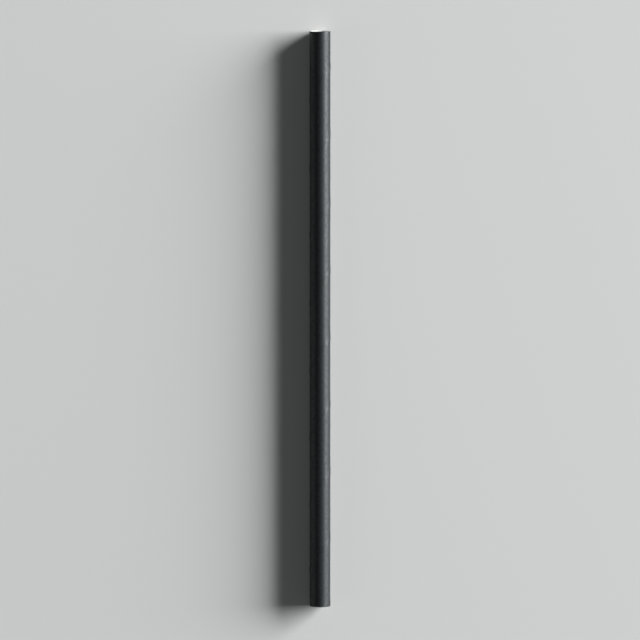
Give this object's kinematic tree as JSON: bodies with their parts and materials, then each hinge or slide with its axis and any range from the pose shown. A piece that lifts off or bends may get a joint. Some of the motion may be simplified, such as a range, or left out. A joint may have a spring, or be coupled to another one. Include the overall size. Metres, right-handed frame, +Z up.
{
  "type": "paper drinking straw",
  "caption": "Slim black paper tube, wound as a spiral with a low lapped seam and cut square at both ends, that a drink is sucked up through; it lies on its side.",
  "frame": {"origin": "on the surface that the straw lies on, below the middle of its length", "axes": "+Y along the straw, +Z up, +X across it"},
  "size_m": [0.0072, 0.197, 0.0071],
  "materials": {
    "black_paper": "matt, dyed through, with a faint sheen"
  },
  "bodies": {
    "root": {"straw": "black_paper"}
  },
  "joints": []
}
